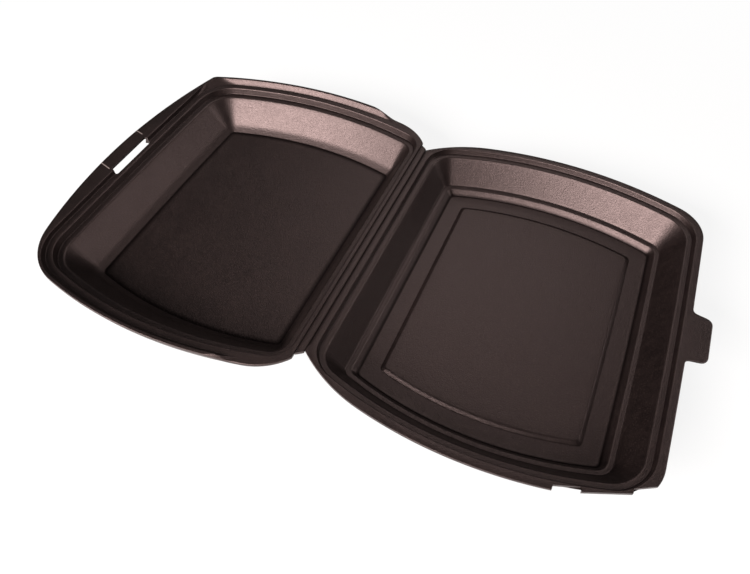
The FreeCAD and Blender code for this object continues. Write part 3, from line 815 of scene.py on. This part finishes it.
hingeLook = {
    "length": 196.0, "halfWidth": 2.2, "creaseDepth": 0.3, "grooveHalf": 0.75, "bevel": 0.3, "endSlant": 0.7,
    "webHalf": 0.42, "webDepth": 1.1, "webLength": 187.0, "webNotch": 0.12,
    "step": 0.004,  # gap between the rings of a sweep, m
    "bendHeight": 0.0277,  # middle of both creases above the table, m
    "bendShare": 0.6,  # part of a web's width at its crease
}


def sweepTree(material):
    # a closed section swept along the hinge
    group, inputs = newGroup("hingeSweep", dict.fromkeys(("length", "step"), "NodeSocketFloat"))
    tree = Tree(group)
    entry = tree.node("NodeGroupInput")
    half = Wire(tree, entry.outputs["length"]) * 0.5
    start = tree.wire("ShaderNodeCombineXYZ", None, {"Y": half * -1.0})
    end = tree.wire("ShaderNodeCombineXYZ", None, {"Y": half})
    line = tree.node("GeometryNodeCurvePrimitiveLine", None, {"Start": start, "End": end})
    stepped = tree.node("GeometryNodeResampleCurve", {"mode": "LENGTH"}, {"Curve": line.outputs[0],
                                                                        "Length": entry.outputs["step"]})
    upright = tree.node("GeometryNodeSetCurveNormal", {"mode": "Z_UP"}, {"Curve": stepped.outputs[0]})
    section = tree.node("GeometryNodeMeshToCurve", None, {"Mesh": entry.outputs["Geometry"]})
    swept = tree.node("GeometryNodeCurveToMesh", None, {"Curve": upright.outputs[0],
                                                        "Profile Curve": section.outputs[0], "Fill Caps": True})
    endGroup(tree, swept.outputs[0], material)
    return group, inputs


def sweptPiece(name, section, centre, length, material):
    # section points are across the hinge and up from the rim's top face, mm; the sweep turns them over
    points = [(x * mm, -z * mm, 0.0) for x, z in section]
    edges = [(index, (index + 1) % len(points)) for index in range(len(points))]
    mesh = bpy.data.meshes.new(name)
    mesh.from_pydata(points, edges, [])
    group, inputs = sweepTree(material)
    values = {inputs["length"]: length * mm, inputs["step"]: hingeLook["step"]}
    piece = runTree(name, mesh, group, values, material)
    piece.data.transform(Matrix.Translation(((hingeShift + centre) * mm, 0, rimHeight * mm)))
    return piece


def makeHinge(material, darkMaterial):
    look = hingeLook
    half, deep, crease, bevel = look["halfWidth"], -sheet["thickness"], -look["creaseDepth"], look["bevel"]
    topHalf = half - look["grooveHalf"]
    section = [
        (-half, deep + bevel), (-half + bevel, deep), (half - bevel, deep), (half, deep + bevel),
        (half, crease - 0.25), (half - 0.08, crease), (topHalf, -0.06), (topHalf - bevel, 0.0),
        (-topHalf + bevel, 0.0), (-topHalf, -0.06), (-half + 0.08, crease), (-half, crease - 0.25),
    ]
    strip = sweptPiece("hingeBand", section, 0.0, look["length"], material)
    # both ends run in towards the tray's side
    for vertex in strip.data.vertices:
        if abs(vertex.co.y) > look["length"] * 0.499 * mm:
            across = vertex.co.x / mm - hingeShift
            slanted = look["length"] / 2 - look["endSlant"] * (across + look["halfWidth"])
            vertex.co.y = math.copysign(slanted, vertex.co.y) * mm
    # the webs close the creases beside the strip; their dark surface is painted shade
    webs = []
    webHalf, webTop, webLow, notch = look["webHalf"], crease - 0.3, crease - look["webDepth"], look["webNotch"]
    web = [(-webHalf, webLow), (webHalf, webLow), (webHalf, webTop), (notch, webTop - 0.1),
           (-notch, webTop - 0.1), (-webHalf, webTop)]
    for name, centre in (("trayCreaseWeb", sheet["hingeLine"]), ("lidCreaseWeb", -sheet["hingeLine"])):
        webs.append(sweptPiece(name, web, centre, look["webLength"], darkMaterial))
    return strip, webs


def main():
    bpy.context.scene.view_settings.view_transform = "Standard"
    placeCamera()
    placeLights()
    layFloor()
    print("camera, light and floor are in place")
    material = foamMaterial("foam")
    tray = makeTray(material)
    print("tray pressed:", len(tray.data.polygons), "faces")
    lid = makeLid(foamMaterial("creaseHighlightFoam", lidLook["flangeCreaseHighlights"]))
    print("lid pressed:", len(lid.data.polygons), "faces")
    strip, webs = makeHinge(material, creaseMaterial())
    print("hinge swept:", len(strip.data.polygons), "faces")
    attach(tray, "tray")
    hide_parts("tray")
    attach(lid, "lid")
    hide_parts("lid")
    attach(strip, "hinge_strip")
    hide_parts("hinge_strip")
    sides = (sheet["hingeLine"], -sheet["hingeLine"])
    for web, side, bodies in zip(webs, sides, (("hinge_strip", "tray"), ("lid", "hinge_strip"))):
        centre = Vector(((hingeShift + side) * mm, 0, hingeLook["bendHeight"]))
        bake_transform(web)


main()
